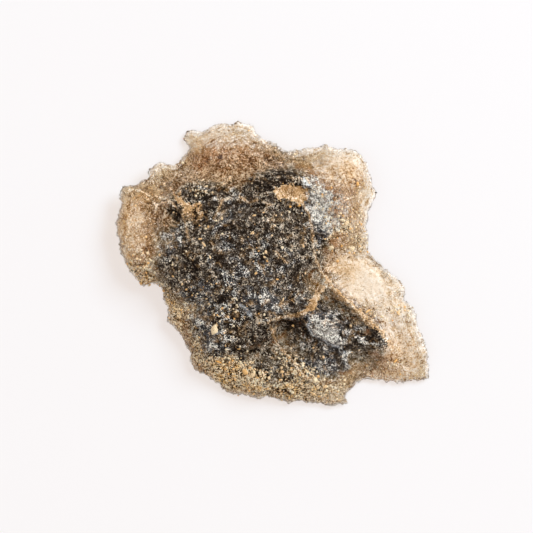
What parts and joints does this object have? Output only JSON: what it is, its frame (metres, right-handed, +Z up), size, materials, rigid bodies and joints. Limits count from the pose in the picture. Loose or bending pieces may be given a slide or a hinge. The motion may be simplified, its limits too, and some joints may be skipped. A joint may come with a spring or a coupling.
{
  "type": "raw moldavite flake",
  "caption": "Raw moldavite: a knobbly smoky-brown flake of natural glass with thin see-through edges, a pitted upper face crossed by sharp crests, and an arched underside to lie on.",
  "frame": {"origin": "on the surface the flake lies on, under the middle of its bounding box", "axes": "+X along the greatest width as it lies, +Z up, square to the flake; +Y towards its rounded northern lobe"},
  "size_m": [0.0316, 0.0288, 0.0056],
  "materials": {
    "smoky_glass": "etched, dull, with ochre soil in its pits"
  },
  "bodies": {
    "root": {"moldavite": "smoky_glass"}
  },
  "joints": []
}
